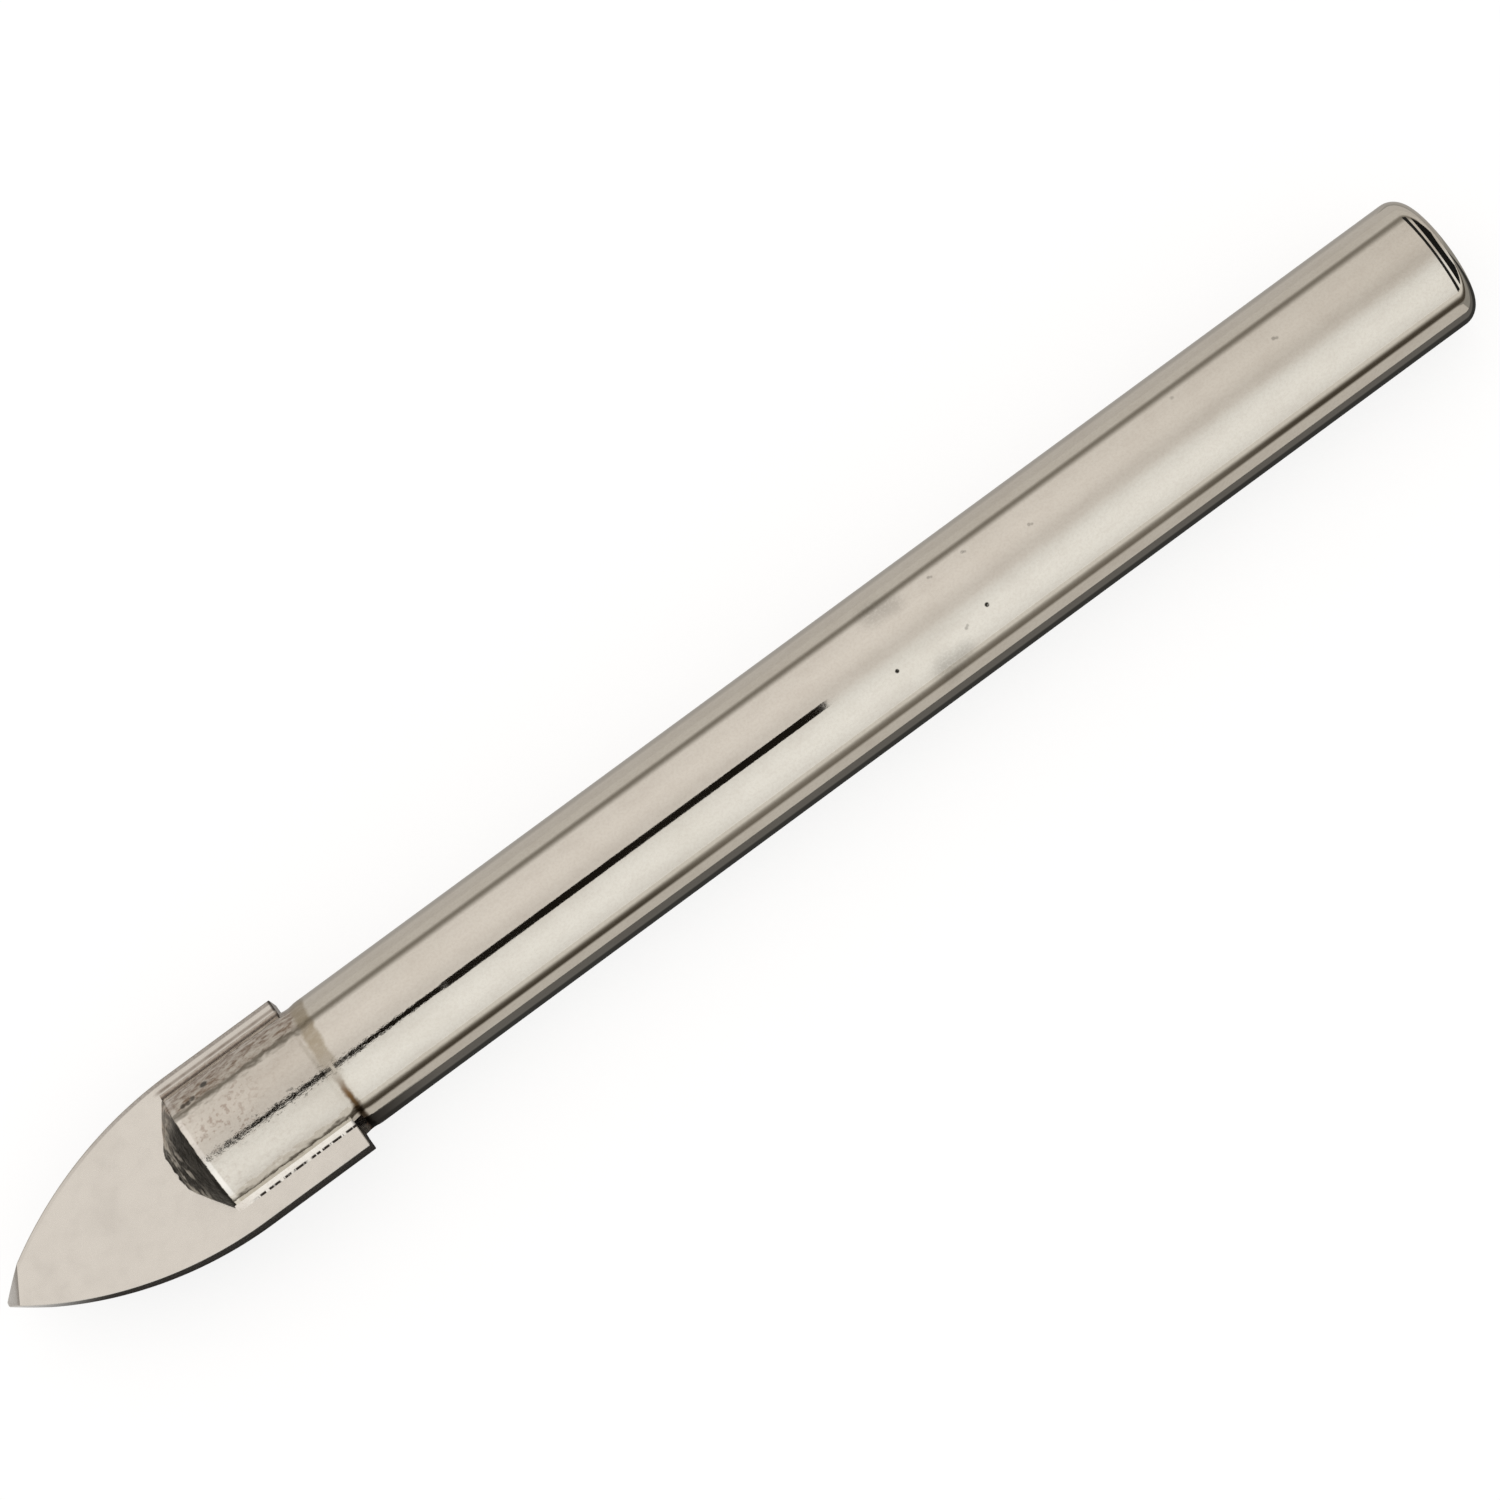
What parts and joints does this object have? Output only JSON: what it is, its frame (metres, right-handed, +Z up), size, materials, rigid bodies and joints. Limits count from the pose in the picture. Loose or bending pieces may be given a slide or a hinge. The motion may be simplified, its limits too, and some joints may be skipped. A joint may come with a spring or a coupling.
{
  "type": "glass and tile drill bit",
  "caption": "Round shank with a flat spear-pointed carbide blade brazed into its slotted end, for drilling glass and glazed tile.",
  "frame": {"origin": "on the surface that the bit lies on, under the middle of its length and width", "axes": "+X along the bit's axis from the point to the back end, +Z up, square to the flat of the blade"},
  "size_m": [0.072, 0.008, 0.006],
  "materials": {
    "plated_steel": "bright warm nickel plate with fine scratches, pitted and heat-tinted round the slot",
    "ground_carbide": "satin ground carbide with a warm grey tone",
    "braze_metal": "dull brown oxidised braze"
  },
  "bodies": {
    "root": {"shank": "plated_steel", "carbide_tip": "ground_carbide", "braze": "braze_metal"}
  },
  "joints": []
}
